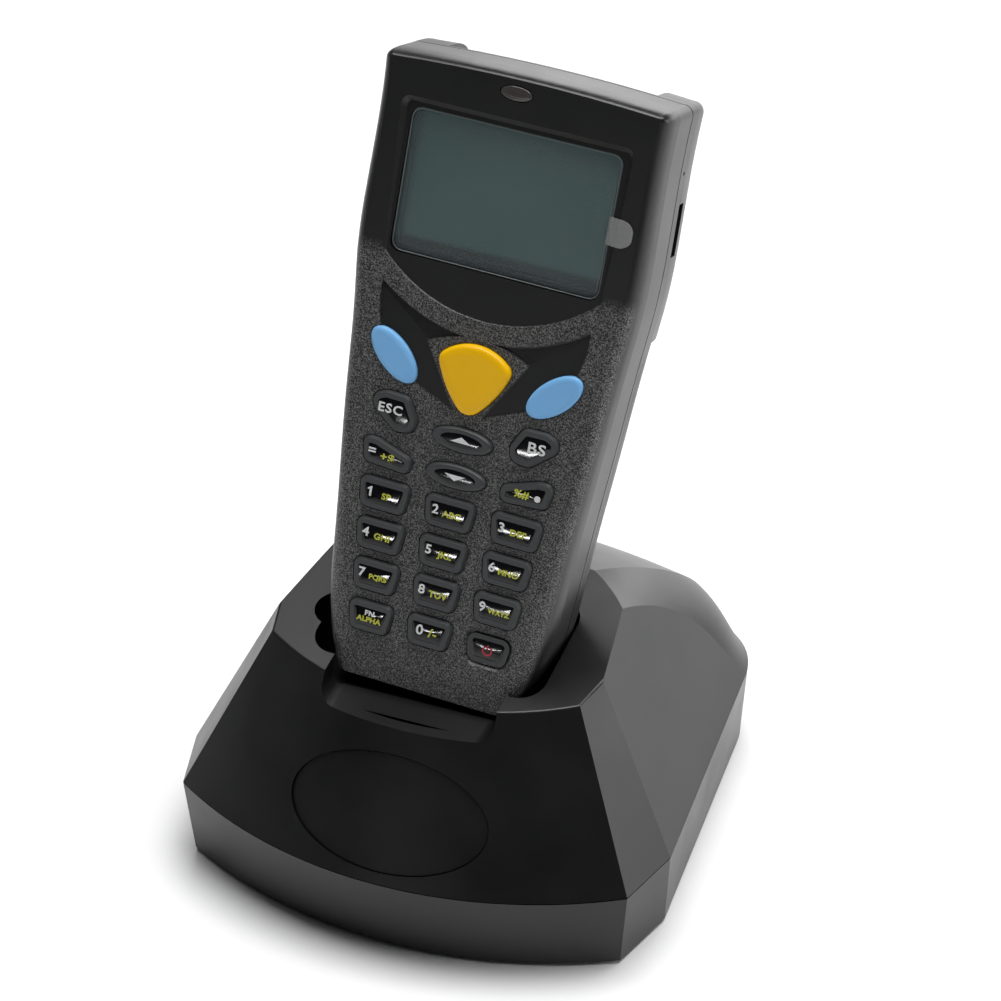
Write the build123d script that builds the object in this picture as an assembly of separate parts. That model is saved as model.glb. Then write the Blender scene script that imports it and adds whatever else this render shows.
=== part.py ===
"""Pocket data terminal standing in its desktop charging cradle.

Millimetres, +Z up, the front faces -Y, the origin is on the floor under the middle of the cradle.
The terminal is drawn in its own frame (X across the face, Y into the body, Z along its length, the
face at Y = 0 and its foot at Z = 0) and is then set into the cradle, leaning back in a loose pocket.
"""
from build123d import *
import math
import os

os.makedirs("parts", exist_ok=True)

# ---------------------------------------------------------------- driving dimensions: terminal
foot_drop = 0.8            # the case foot reaches this far below the face's lower edge
face_wall = 1.8            # thickness of the front wall
side_wall = 1.7            # thickness of the side and back walls
edge_depth = 6.0           # depth over which the face rounds into the sides
parting = 13.4             # depth of the joint between front and rear case
cover_line = 15.6          # depth of the joint between rear case and battery cover
back = 23.4                # depth of the hand grip
head_back = 29.5           # depth of the thicker head
cover_top = 70.0           # upper end of the battery cover
board_y, board_t = 7.6, 1.2            # main board
dome_y, dome_t = 3.45, 0.15            # snap domes under the keys
key_gap = 0.15             # clearance around a key in its opening
lean, skew = math.radians(19.94), math.radians(2.94)   # how the terminal stands in the pocket
dock_at = (0, -29.06, 46.33)           # middle of the face's lower edge

# ---------------------------------------------------------------- driving dimensions: cradle
foot_h = 0.8               # rubber feet below the housing
part_z = 17.9              # height of the joint between base and top housing
rim_z, rim_y, rim_slope = 50.4, -26.3, 0.1155          # the flat top face: height at rim_y, rise
wall = 2.4
pocket_half, pocket_front, pocket_back = 23.9, 0.6, 24.7   # pocket half width and depth range
pocket_floor = -2.0
notch_half, notch_z = 17.8, 44.4       # thumb notch in the front lip


def lerp(a, b, t):
    return tuple(p + (q - p) * t for p, q in zip(a, b))


def save(shape, name):
    if isinstance(shape, (list, ShapeList)):
        shape = Compound(children=list(shape))
    shape.label = name
    export_step(shape, f"parts/{name}.step")


def mirrored(pts):
    return [(-x, y) for x, y in reversed(pts)]


# ================================================================ terminal: case outline
# right-hand side of the face (sharp front edge) and of the body behind it, foot to head
face_side = [(16.4, 1.4), (18.4, 14.0), (20.3, 27.0), (22.0, 38.0), (23.3, 50.0), (24.0, 62.0),
             (24.5, 72.5), (25.8, 81.5), (26.1, 95.0), (26.4, 118.4)]
body_side = [(19.2, 1.4), (22.5, 12.0), (23.8, 26.0), (24.8, 40.0), (25.7, 51.0), (26.5, 62.0),
             (27.4, 72.5), (28.3, 82.5), (28.4, 95.0), (28.4, 118.0)]


def case_wire(t, y, inset=0.0):
    """Closed outline at depth y; t runs from 0 (face edge) to 1 (full body)."""
    side = [lerp(f, b, t) for f, b in zip(face_side, body_side)]
    side = [(x - inset, z) for x, z in side]
    side[0] = (side[0][0] - 0.3 * inset, side[0][1] + inset)
    side[-1] = (side[-1][0], side[-1][1] - inset)
    low = -foot_drop * t + inset
    top_z = 120.1 + 0.9 * t - inset
    heel = 15.2 + 0.8 * t - inset                 # where the flat foot ends
    crown = side[-1][0] - 0.6 - 1.6 * t           # where the arched top begins
    at = lambda x, z: Vector(x, y, z)
    right = Spline(*[at(x, z) for x, z in side])
    left = Spline(*[at(x, z) for x, z in mirrored(side)])
    knee = ((heel + side[0][0]) / 2 + 0.35, (low + side[0][1]) / 2 - 0.3)
    corner = ((crown + side[-1][0]) / 2 + 0.25 + 0.3 * t, (top_z - 0.9 + side[-1][1]) / 2 + 0.2 + 0.3 * t)
    edges = [
        Line(at(-heel, low), at(heel, low)),
        ThreePointArc(at(heel, low), at(*knee), at(*side[0])),
        right,
        ThreePointArc(at(*side[-1]), at(*corner), at(crown, top_z - 0.9)),
        ThreePointArc(at(crown, top_z - 0.9), at(0, top_z), at(-crown, top_z - 0.9)),
        ThreePointArc(at(-crown, top_z - 0.9), at(-corner[0], corner[1]), at(-side[-1][0], side[-1][1])),
        left,
        ThreePointArc(at(-side[0][0], side[0][1]), at(-knee[0], knee[1]), at(-heel, low)),
    ]
    return Wire(edges)


def case_loft(stations, inset=0.0):
    """Solid through outlines given as (t, depth, extra inset)."""
    return Solid.make_loft([case_wire(t, y, inset + i) for t, y, i in stations])


def rounding(a):
    return math.sin(math.radians(a)), edge_depth * (1 - math.cos(math.radians(a)))


front_edge = case_loft([(*rounding(a), 0) for a in (0, 35, 62, 90)])
front_band = case_loft([(1, edge_depth, 0), (1, parting, 0)])
front_outer = front_edge + front_band
front_hollow = (case_loft([(0.35, face_wall, 0), (1, edge_depth + 1.2, 0)], side_wall)
                + case_loft([(1, edge_depth + 1.2, 0), (1, parting, 0)], side_wall))

groove_w, groove_d = 0.35, 0.4      # shadow groove along the joint of the two case halves
rear_band = case_loft([(1, parting, 0), (1, 17.2, 0)]) \
    - (case_loft([(1, parting - 1, 0), (1, parting + groove_w, 0)], -2.0)
       - case_loft([(1, parting - 2, 0), (1, parting + 2, 0)], groove_d))
rear_round = case_loft([(1, 17.2, 0), (1, 19.6, 0.55), (1, 21.8, 2.0), (1, back, 5.2)])
rear_outer = rear_band + rear_round
rear_hollow = (case_loft([(1, parting, 0), (1, 17.2, 0)], side_wall)
               + case_loft([(1, 17.2, 0), (1, 19.2, 0.55), (1, 20.8, 1.8), (1, back - side_wall, 4.2)],
                           side_wall))


# the thicker head behind the display meets the grip in a sloping shoulder
shoulder = [(17.2, 74.0), (22.0, 74.0), (31.0, 89.0), (31.0, 125.0), (17.2, 125.0)]    # (depth, along)
head_zone = extrude(Plane.YZ * Polygon(*shoulder, align=None), amount=40, both=True)
head_round = case_loft([(1, 17.2, 0), (1, 20.5, 0.2), (1, 24.5, 1.3), (1, 27.6, 3.6), (1, head_back, 7.2)])
head_hollow = case_loft([(1, 17.2, 0), (1, 20.5, 0.4), (1, 24.0, 1.8), (1, head_back - side_wall, 5.8)],
                        side_wall)
rear_outer = rear_outer + (head_round & head_zone)
rear_hollow = rear_hollow + (head_hollow & (Pos(0, 0, 2.4) * head_zone))

# ---------------------------------------------------------------- front case
low_corner, high_corner = (21.6, 0, 83.0), (22.9, 0, 110.6)
bend, top_corner = (22.4, 0, 112.1), (21.0, 0, 112.7)
flip = lambda p: (-p[0], p[1], p[2])
recess_outline = Wire([
    Line(flip(high_corner), flip(low_corner)), ThreePointArc(flip(low_corner), (0, 0, 74.4), low_corner),
    Line(low_corner, high_corner), ThreePointArc(high_corner, bend, top_corner),
    Line(top_corner, flip(top_corner)), ThreePointArc(flip(top_corner), flip(bend), flip(high_corner))])
# the display recess is deep under its top edge and runs out towards the curved lower edge
recess_wall = 1.1                                # how far the walls lean in over the full depth
recess_inner = offset(Face(recess_outline), amount=-recess_wall).face().outer_wire()
recess = (Solid.make_loft([recess_outline, Pos(0, 1.0, 0) * recess_inner], True)
          + extrude(Face(recess_outline), amount=4, dir=(0, -1, 0)))
recess_floor = Plane(origin=(0, 0.95, 112.7), x_dir=(1, 0, 0), z_dir=(0, -1, 0.022))
recess = split(recess, bisect_by=recess_floor, keep=Keep.TOP)

win_w, win_h, win_z = 41.6, 27.4, 97.1          # display window and its middle
lcd_w, lcd_h = 39.9, 25.6


def face_rect(w, h, z, y0, y1, r=2.0, x=0.0):
    """Rounded block between depths y0 and y1, its middle at (x, z)."""
    return extrude(Plane(origin=(x, y0, z), x_dir=(1, 0, 0), z_dir=(0, -1, 0)) * RectangleRounded(w, h, r),
                   amount=-(y1 - y0))


def box(x0, x1, y0, y1, z0, z1):
    return Pos((x0 + x1) / 2, (y0 + y1) / 2, (z0 + z1) / 2) * Box(x1 - x0, y1 - y0, z1 - z0)


def rod(x, z, y0, y1, r):
    """Round bar along the depth."""
    return Pos(x, (y0 + y1) / 2, z) * Rot(90, 0, 0) * Cylinder(r, y1 - y0)


# ---------------------------------------------------------------- keys
def rounded(pts, r):
    """Polygon with rounded corners, always wound the same way round."""
    turn = sum(a[0] * b[1] - b[0] * a[1] for a, b in zip(pts, pts[1:] + pts[:1]))
    sk = Polygon(*(pts if turn > 0 else pts[::-1]), align=None)
    return fillet(sk.vertices(), r)


def pad_outline(kind, grow=0.0):
    """Key shapes, drawn about their own middle in (x, z)."""
    if kind[0] in ("block", "well"):            # rounded trapezoid, narrower below
        _, w, h = kind
        w, h = w + 2 * grow, h + 2 * grow
        pts = [(-w / 2, h / 2), (w / 2, h / 2), (w / 2 - 0.9, -h / 2), (-w / 2 + 0.9, -h / 2)]
        return rounded(pts, 1.75 + grow)
    if kind[0] == "oval":                       # tilted ellipse
        _, a, b, ang = kind
        return Rot(0, 0, ang) * Ellipse(a + grow, b + grow)
    if kind[0] == "drop":                       # rounded triangle, its blunt side outward
        _, s = kind
        pts = [(-5.7 * s, 1.9), (-1.6 * s, 3.7), (3.0 * s, 3.6), (5.3 * s, -0.6), (4.6 * s, -3.1),
               (1.0 * s, -3.6)]
        return offset(rounded(pts, 1.9), amount=grow + 0.2)
    if kind[0] == "bean":                       # arrow keys
        return Ellipse(6.2 + grow, 2.45 + grow)
    if kind[0] == "wing":                       # outer keys of the symbol row
        _, s = kind
        pts = [(-5.1 * s, 2.9), (-1.9 * s, 2.9), (5.6 * s, 0.4), (5.1 * s, -2.8), (-4.2 * s, -2.2)]
        return offset(rounded(pts, 1.5), amount=grow + 0.1)
    # shield of the scan key: bowed top, bowed sides, narrow round foot
    brow, chin = (7.5, 3.3), (2.0, -5.9)
    left = lambda p: (-p[0], p[1])
    shield = make_face([
        ThreePointArc(brow, (0, 6.9), left(brow)), ThreePointArc(left(brow), (-5.3, -1.7), left(chin)),
        ThreePointArc(left(chin), (0, -6.7), chin), ThreePointArc(chin, (5.3, -1.7), brow)])
    return offset(fillet(shield.vertices(), 2.0), amount=grow)


keys = {
    "key_scan": (("shield",), 0.0, 63.1, 1.3),
    "key_blue_left": (("oval", 6.3, 3.15, -42), -16.2, 64.0, 0.75),
    "key_blue_right": (("oval", 6.3, 3.15, 42), 16.2, 64.0, 0.75),
    "key_esc": (("drop", 1), -14.7, 53.2, 0.85), "key_bs": (("drop", -1), 14.7, 53.2, 0.85),
    "key_up": (("bean",), 0.0, 51.3, 0.85), "key_down": (("bean",), 0.0, 44.1, 0.85),
    "key_equal": (("wing", 1), -14.5, 44.6, 0.85), "key_percent": (("wing", -1), 14.5, 44.6, 0.85),
    "key_power": (("well", 9.2, 5.6), 12.0, 12.2, 0.0),
    "key_fn": (("block", 9.8, 6.3), -12.2, 12.2, 0.85), "key_0": (("block", 9.9, 6.3), 0.0, 12.5, 0.85),
}
# the digit rows widen by a constant step from one row to the next
for row, (digits, z) in enumerate([("789", 20.5), ("456", 28.6), ("123", 36.7)]):
    for col, d in enumerate(digits):
        keys[f"key_{d}"] = (("block", 10.2 + 0.4 * row, 6.4), (col - 1) * (12.5 + 0.5 * row), z, 0.85)


def at_key(x, z, y):
    return Plane(origin=(x, y, z), x_dir=(1, 0, 0), z_dir=(0, -1, 0))


def key_solid(kind, x, z, rise):
    """Flanged key: a foot under the wall, a body in the opening, a cap above the face."""
    flange = extrude(at_key(x, z, face_wall + 0.15) * pad_outline(kind, 0.45), amount=-0.55)
    if kind[0] == "well":                       # flush key, its top below the face
        return flange + extrude(at_key(x, z, 0.35) * pad_outline(kind), amount=-(face_wall - 0.2))
    body = extrude(at_key(x, z, 0.0) * pad_outline(kind), amount=-(face_wall + 0.15))
    if kind[0] in ("oval", "shield"):           # smooth dome: share of the rise, shrink of the outline
        steps = [(0.0, 0.0), (0.4, -0.1), (0.8, -0.45), (1.0, -1.1)]
        if kind[0] == "shield":
            steps = [(0.0, 0.0), (0.5, -0.12), (0.82, -0.45), (0.96, -1.0), (1.0, -1.7)]
        cap = Solid.make_loft([(at_key(x, z, -rise * h) * pad_outline(kind, g)).face().outer_wire()
                               for h, g in steps])
    elif kind[0] == "bean":                     # soft skirt round a shallow legend field
        cap = Solid.make_loft([(at_key(x, z, -rise * h) * pad_outline(kind, g)).face().outer_wire()
                               for h, g in [(0.0, 0.0), (0.6, -0.18), (0.92, -0.42), (1.0, -0.7)]])
        cap -= extrude(at_key(x, z, -rise) * Ellipse(4.2, 1.35), amount=-0.14)
    else:                                       # the same, straight sided
        cap = extrude(at_key(x, z, 0.0) * pad_outline(kind), amount=rise, taper=24)
        cap -= extrude(at_key(x, z, -rise) * pad_outline(kind, -1.35), amount=-0.14)
    return flange + body + cap


# ---------------------------------------------------------------- the front case with its openings
front_case = front_outer - front_hollow - recess
front_case -= face_rect(win_w + 0.2, win_h + 0.2, win_z, -2, 1.9, 2.1)
front_case -= face_rect(lcd_w, lcd_h, win_z, -2, 6, 1.2)
for name, (kind, x, z, rise) in keys.items():
    front_case -= extrude(at_key(x, z, -2) * pad_outline(kind, key_gap), amount=-(face_wall + 5))
# the power key sits in a deeper bevelled well
well = extrude(at_key(12.0, 12.2, 0.75) * pad_outline(("well", 8.9, 5.6), 0.35), amount=2, taper=-38)
front_case -= well
led_x, led_z = -1.2, 117.5
front_case -= extrude(at_key(led_x, led_z, -1) * Ellipse(3.25, 1.5), amount=-6)
# smooth zone round the upper keys, sunk towards the crescent under the display; a shield stays proud
sunk = at_key(0, 0, 0) * (Pos(0, 76.0) * Circle(20.9))
sunk -= at_key(0, 0, 0) * (Pos(0, 105.6) * Circle(34.9))
sunk &= at_key(0, 0, 0) * Polygon((0, 55.2), (24, 65.3), (24, 90), (-24, 90), (-24, 65.3), align=None)
proud = rounded([(-10.2, 68.4), (-1.9, 54.5), (1.9, 54.5), (10.2, 68.4), (5.5, 70.4), (0, 71.2),
                 (-5.5, 70.4)], 0.4)
sunk -= at_key(0, 0, 0) * proud
scoop_floor = Plane(origin=(0, 0.0, 55.2), x_dir=(1, 0, 0), z_dir=(0, -1, 0.028))
front_case -= split(extrude(sunk, amount=3, both=True), bisect_by=scoop_floor, keep=Keep.TOP)
# bosses for the six case screws, standing on the inside of the front wall
head_screws = [(-24.2, 108.0), (24.2, 108.0), (-23.2, 75.5), (23.2, 75.5)]
foot_screws = [(-16.0, 5.0), (16.0, 5.0)]
screw_r, head_r, foot_head_r = 0.85, 1.9, 1.45
for x, z in head_screws + foot_screws:
    front_case += rod(x, z, 1.2, parting - 0.1, 2.1)
    front_case -= rod(x, z, 5.0, parting + 1, screw_r + 0.05)

led_lens = extrude(at_key(led_x, led_z, 0.1) * Ellipse(3.1, 1.35), amount=-2.4)
led_lens += Solid.make_loft([(at_key(led_x, led_z, -h) * Ellipse(3.1 - g, 1.35 - g)).face().outer_wire()
                             for h, g in ((-0.15, 0.0), (0.05, 0.05), (0.18, 0.35), (0.22, 0.8))])
window = face_rect(win_w, win_h, win_z, 1.1, 1.88, 2.0)
film = face_rect(win_w - 1.2, win_h - 1.2, win_z, 1.0, 1.09, 1.6)

# protective film: its pull tab climbs over the edge of the recess and stands off the face
tab_path = [(19.9, 0.97), (20.9, 0.3), (22.3, -0.2), (25.3, -0.4)]
tab_profile = Polygon(*tab_path, *[(x, y + 0.12) for x, y in reversed(tab_path)], align=None)
film_tab = extrude(tab_profile, amount=120)
film += film_tab & face_rect(9.6, 5.2, 97.0, -2, 2, 2.4, x=20.6)

# ---------------------------------------------------------------- rear case and battery cover
# sloping seat of the scan window, cut into the top end of the head
slope = math.radians(26.5)
scan_seat = Plane(origin=(0, 22.0, 116.0), x_dir=(1, 0, 0), z_dir=(0, math.sin(slope), math.cos(slope)))
seat_cut = scan_seat * (Pos(0, 0, 10) * Box(41.6, 40, 20)) & box(-30, 30, 14.6, 40, 100, 130)
rear_case = rear_outer - (rear_hollow - scan_seat * (Pos(0, 0, 9) * Box(46, 40, 22))) - seat_cut
rear_case -= scan_seat * (Pos(0, 0.4, 0) * Box(32, 9.2, 12))
rear_case -= scan_seat * (Pos(0, 0.4, 0) * Box(34.2, 11.2, 3.0))
scan_window = scan_seat * (Pos(0, 0.4, -0.75) * Box(34.0, 11.0, 1.3))

cover_zone = box(-40, 40, cover_line, 40, -10, cover_top)
bay_half, bay_low, bay_high, bay_skin = 11.4, 8.0, 63.0, 1.4     # battery bay and its walls
bay = box(-bay_half, bay_half, 9.9, 40, bay_low, bay_high)
bay_wall = box(-bay_half - bay_skin, bay_half + bay_skin, 9.0, cover_line - 0.1,
               bay_low - bay_skin, bay_high + bay_skin)
deck = (case_loft([(1, 14.2, 0), (1, cover_line - 0.1, 0)], side_wall - 0.3)
        & box(-40, 40, 0, 40, -10, cover_top))
bulkhead = (case_loft([(1, 14.2, 0), (1, 17.2, 0)], 0.8)
            + case_loft([(1, 17.2, 0), (1, 19.6, 0.55), (1, 21.6, 2.0), (1, back - 0.9, 4.8)], 0.8)) \
    & box(-40, 40, 14.2, back - 0.8, cover_top, cover_top + 1.6)
rear_case = rear_case - cover_zone + deck + bay_wall + bulkhead - bay
for x, z in head_screws:
    rear_case += (rod(x, z, parting + 0.05, 20.5, 2.9) & rear_outer)
    rear_case -= rod(x, z, 12, 40, screw_r + 0.1)
    rear_case -= rod(x, z, 17.5, 40, head_r + 0.25)
for x, z in foot_screws:
    rear_case += rod(x, z, parting + 0.05, cover_line - 0.1, 2.0)
    rear_case -= rod(x, z, 12, 40, screw_r + 0.1)
for side in (-1, 1):
    rear_case -= box(*sorted((side * 26.9, side * 30)), 16.3, 19.0, 91.0, 101.2)
rear_case -= Pos(28, 15.6, 107.2) * Rot(0, 90, 0) * Cylinder(0.4, 3)

cover_in = box(-40, 40, cover_line + 0.1, 40, -10, cover_top - 0.12)
battery_cover = (rear_outer & cover_in) - rear_hollow
rib_w, rib_pitch = 1.0, 2.4
for row in range(5):                     # finger grip ribs below the cover's upper edge
    z = 61.0 - rib_pitch * row
    battery_cover += box(row - 9, 9 - row, back - 0.4, back + 0.45, z, z + rib_w)

# ---------------------------------------------------------------- inside the terminal
def stack_board(inset, y, t, z0, z1):
    return case_loft([(1, y, 0), (1, y + t, 0)], inset) & box(-40, 40, 0, 40, z0, z1)


keypad_board = stack_board(4.6, 3.6, 1.0, 2, 72.4)
main_board = stack_board(3.3, board_y, board_t, 3, 117.5)
for x, z in head_screws + foot_screws:
    keypad_board -= rod(x, z, 0, 12, 2.5)
    main_board -= rod(x, z, 0, 12, 2.5)
snap_domes = [rod(x, z, dome_y, dome_y + dome_t, 2.3) for _, x, z, _ in keys.values()]
board_link = box(-9, 9, 4.62, board_y - 0.02, 30, 34)
lcd_module = face_rect(42.6, 29.0, 97.1, 2.0, 5.6, 0.8)
lcd_module -= face_rect(39.4, 24.6, 97.1, 1.0, 2.25, 0.4)
shield_can = box(-17, 3, board_y + board_t + 0.02, 11.2, 84, 100)
beeper = rod(14.0, 92.0, board_y + board_t + 0.02, 12.4, 5.5) - rod(14.0, 92.0, 11.6, 13, 1.0)
scan_engine = box(-10.6, 10.6, 15.0, 26.2, 96.0, 109.5) + box(-8, 8, 17.0, 24.0, 109.5, 110.6)
engine_frame = box(-14, 14, 12.9, 14.9, 94.0, 109.0) - box(-9, 9, 12, 16, 98, 105)
cells = [Pos(x, 16.0, 35.5) * (Cylinder(5.2, 43.4) + Pos(0, 0, s * 22.1) * Cylinder(1.9, 0.8))
         for x, s in ((-5.6, 1), (5.6, -1))]
bay_contacts = [box(x - 4.2, x + 4.2, 12.0, 20.0, z, z + 0.35) for x in (-5.6, 5.6) for z in (8.15, 62.5)]
for x, s in ((-5.6, 1), (5.6, -1)):      # coil springs against the flat ends, drawn as closed sleeves
    z0, z1 = (8.5, 13.75) if s == 1 else (57.25, 62.5)
    bay_contacts.append(Pos(x, 16.0, (z0 + z1) / 2) * (Cylinder(3.0, z1 - z0) - Cylinder(2.4, 10)))
stud_at = [(-8.0, 9.5), (8.0, 9.5)]
charge_studs = [Pos(x, y, 0.75) * Cylinder(1.4, 3.0) for x, y in stud_at]
foot_window = box(-4.5, 4.5, 7.2, 11.8, -0.75, 1.6)
for x, y in stud_at:
    front_case -= Pos(x, y, 0) * Cylinder(1.45, 6)
front_case -= box(-4.6, 4.6, 7.1, 11.9, -3, 3)
case_screws = [rod(x, z, 17.5, 19.2, head_r) + rod(x, z, 6.0, 17.5, screw_r)
               - box(x - 1.2, x + 1.2, 18.6, 20, z - 0.25, z + 0.25) for x, z in head_screws]
case_screws += [rod(x, z, cover_line - 0.1, 16.6, foot_head_r) + rod(x, z, 6.0, cover_line - 0.1, screw_r)
                - box(x - 1, x + 1, 16.1, 18, z - 0.25, z + 0.25) for x, z in foot_screws]

# ================================================================ terminal into the cradle
across = (math.cos(skew), -math.sin(skew) * math.sin(lean), -math.sin(skew) * math.cos(lean))
along = (math.sin(skew), math.cos(skew) * math.sin(lean), math.cos(skew) * math.cos(lean))
dock = Plane(origin=dock_at, x_dir=across, z_dir=along)
seat = Plane(origin=dock_at, x_dir=(1, 0, 0), z_dir=(0, math.sin(lean), math.cos(lean)))


def place(shape):
    if isinstance(shape, list):
        return [dock.location * one for one in shape]
    return dock.location * shape


terminal = {
    "front_case": front_case, "rear_case": rear_case, "battery_cover": battery_cover,
    "display_window": window, "screen_film": film, "lcd_module": lcd_module,
    "led_lens": led_lens, "scan_window": scan_window, "scan_engine": scan_engine,
    "engine_frame": engine_frame, "main_board": main_board, "keypad_board": keypad_board,
    "snap_domes": snap_domes, "board_link": board_link, "shield_can": shield_can, "beeper": beeper,
    "cells": cells, "bay_contacts": bay_contacts, "charge_studs": charge_studs,
    "foot_window": foot_window, "case_screws": case_screws,
}
for name, (kind, x, z, rise) in keys.items():
    terminal[name] = key_solid(kind, x, z, rise)

# ================================================================ cradle
# outline corners of the upper shell, right-hand half, from the joint up past the rim
rise = rim_z - 0.7 - part_z
front_foot, front_top = (46.9, -39.8), (32.3, -26.6)       # front corner, foot and rim
cheek_foot, cheek_top = (50.7, -25.9), (34.6, -19.1)       # back of the corner facet
bow_foot, bow_top = -53.5, -35.6                           # middle of the bowed front
# the back falls away in a curve: (height, side corner, back corner, middle of the back)
rear_rows = [(part_z, (46.6, 32.5), (33.0, 48.6), 53.5), (27.8, (41.5, 29.0), (33.4, 44.0), 48.2),
             (36.8, (37.3, 23.5), (32.0, 36.6), 41.0), (44.8, (33.9, 15.2), (29.0, 26.8), 31.8),
             (50.8, (31.6, 6.2), (25.4, 17.4), 21.2), (54.8, (30.1, -1.6), (21.3, 8.8), 10.4),
             (59.0, (28.6, -10.4), (16.6, -2.0), -1.6)]


def plan_wire(z, a, b, s, r, front, rear, bulge, push=0.0):
    """Closed plan outline at height z, pushed out (or in, if negative) all round."""
    a, b, s = (a[0] + push, a[1] - push), (b[0] + push, b[1]), (s[0] + push, s[1])
    r = (r[0] + push, r[1] + push)
    mid = ((s[0] + r[0]) / 2 + 0.75 * bulge, (s[1] + r[1]) / 2 + 0.65 * bulge)
    at = lambda p, side=1: Vector(side * p[0], p[1], z)
    return Wire([
        ThreePointArc(at(a, -1), at((0, front - push)), at(a)), Line(at(a), at(b)), Line(at(b), at(s)),
        ThreePointArc(at(s), at(mid), at(r)), ThreePointArc(at(r), at((0, rear + push)), at(r, -1)),
        ThreePointArc(at(r, -1), at(mid, -1), at(s, -1)), Line(at(s, -1), at(b, -1)),
        Line(at(b, -1), at(a, -1))])


def shell_wire(row, push=0.0):
    z, s, r, rear = row
    t = (z - part_z) / rise
    bulge = 0.3 + 3.4 * max(0.0, 1 - t * 1.1)
    return plan_wire(z, lerp(front_foot, front_top, t), lerp(cheek_foot, cheek_top, t), s, r,
                     bow_foot + (bow_top - bow_foot) * t, rear, bulge, push)


def shell_loft(push):
    return Solid.make_loft([shell_wire(row, push) for row in rear_rows])


rim = Plane(origin=(0, rim_y, rim_z), x_dir=(1, 0, 0), z_dir=(0, -rim_slope, 1))
under = lambda d: split(Pos(0, 0, 40) * Box(140, 140, 120), bisect_by=rim.offset(-d), keep=Keep.BOTTOM)
edge_round = 0.6
top_outer = shell_loft(0) & under(0)
front_rim = [e for e in top_outer.edges() if e.center().Y < -15
             and all(abs((e.position_at(t) - rim.origin).dot(rim.z_dir)) < 0.02 for t in (0, 0.3, 0.7, 1))]
top_outer = fillet(front_rim, edge_round)
top_hollow = shell_loft(-wall) & under(wall)


def seat_box(half, w_front, w_back, v0, v1, r=5.0):
    """Block in the pocket's frame: half width, reach in front of and behind the face, along the lean."""
    depth = w_front + w_back
    sk = Pos(0, (w_back - w_front) / 2) * RectangleRounded(2 * half, depth, r)
    return seat * Pos(0, 0, v0) * extrude(sk, amount=v1 - v0)


pocket = seat_box(pocket_half, pocket_front, pocket_back, pocket_floor, 60)
# finger relief on the left-hand side of the pocket
relief = seat * Pos(-21.3, 10.0, pocket_floor) * extrude(Ellipse(5.6, 4.6), amount=60)
pocket_wall = seat_box(pocket_half + 1.8, pocket_front + 12, pocket_back + 1.8, pocket_floor - 2.0, 40, 5.5)
pocket_wall += seat * Pos(-21.3, 10.0, pocket_floor - 2.0) * extrude(Ellipse(7.2, 6.2), amount=30)
notch = Pos(0, -40, notch_z + 20) * Box(2 * notch_half, 26.0, 40)
notch = fillet(notch.edges().filter_by(Axis.Y).group_by(Axis.Z)[0], 3.0)
top_housing = (top_outer - top_hollow) + (pocket_wall & top_outer) - pocket - relief - notch

# oval badge let into the bowed front slope
slope_front = math.atan2(rise, bow_top - bow_foot)
badge_plane = Plane(origin=(0, -46.6, 29.9), x_dir=(1, 0, 0),
                    z_dir=(0, -math.sin(slope_front), math.cos(slope_front)))
oval = lambda grow: badge_plane * extrude(Ellipse(20.2 + grow, 11.4 + grow), amount=12, both=True)
front_half = box(-30, 30, -60, -20, 10, 48)
badge_sunk, badge_back, badge_gap = 0.5, 1.4, 0.22     # plate below the shell's surface, and its clearance
badge_plate = oval(0) & front_half & (shell_loft(-badge_sunk) - shell_loft(-badge_back))
top_housing -= oval(badge_gap) & front_half & (shell_loft(1) - shell_loft(-badge_back - 0.05))

# ---------------------------------------------------------------- base housing
base_low = ((45.5, -39.2), (49.6, -24.9), (45.8, 31.6), (32.2, 47.4), -51.0, 52.2, 3.7)
base_high = (front_foot, cheek_foot, rear_rows[0][1], rear_rows[0][2], bow_foot, 53.5, 3.7)
joint_gap = 0.25


def base_loft(z0, z1, push):
    """Drafted block between two heights."""
    rows = []
    for z in (z0, z1):
        t = (z - foot_h) / (part_z - foot_h)
        mix = [lerp(p, q, t) if isinstance(p, tuple) else p + (q - p) * t
               for p, q in zip(base_low, base_high)]
        rows.append(plan_wire(z, *mix, push))
    return Solid.make_loft(rows, True)


base_housing = base_loft(foot_h, part_z - joint_gap, 0) - base_loft(foot_h + 2.2, part_z + 1, -wall)
base_housing += base_loft(14.0, part_z - joint_gap, -wall + 0.2) - base_loft(13.9, part_z + 1, -4.9)
base_housing += base_loft(part_z - 1, part_z + 1.5, -3.8) - base_loft(part_z - 2, part_z + 2, -4.9)
base_screw_at = [(-37.5, -27.0), (37.5, -27.0), (-35.0, 30.0), (35.0, 30.0)]


def post(x, y, z0, z1, r):
    return Pos(x, y, (z0 + z1) / 2) * Cylinder(r, z1 - z0)


for x, y in base_screw_at:
    base_housing += post(x, y, 2.0, 13.9, 3.4)
    base_housing -= post(x, y, 0, 30, 1.3) + post(x, y, 0, 4.2, 2.9)
    top_housing += post(x, y, 14.0, 30, 3.2) & (top_outer + base_loft(10, part_z, -8))
    top_housing -= post(x, y, 13, 24, 1.2)
base_screws = [post(x, y, 1.9, 4.15, 2.6) + post(x, y, 4.15, 22, 1.12)
               - box(x - 1.6, x + 1.6, y - 0.3, y + 0.3, 1, 2.6) for x, y in base_screw_at]
foot_at = [(-30.0, -38.0), (30.0, -38.0), (-28.0, 42.0), (28.0, 42.0)]
rubber_feet = [fillet(post(x, y, 0, 1.55, 5.0).edges().group_by(Axis.Z)[0], 0.5) for x, y in foot_at]
for x, y in foot_at:
    base_housing -= post(x, y, 0, 1.6, 5.1)
blank_label = box(-20, 20, -26, -2, foot_h + 0.05, foot_h + 0.3)
base_housing -= box(-20.2, 20.2, -26.2, -1.8, 0, foot_h + 0.35)
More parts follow.
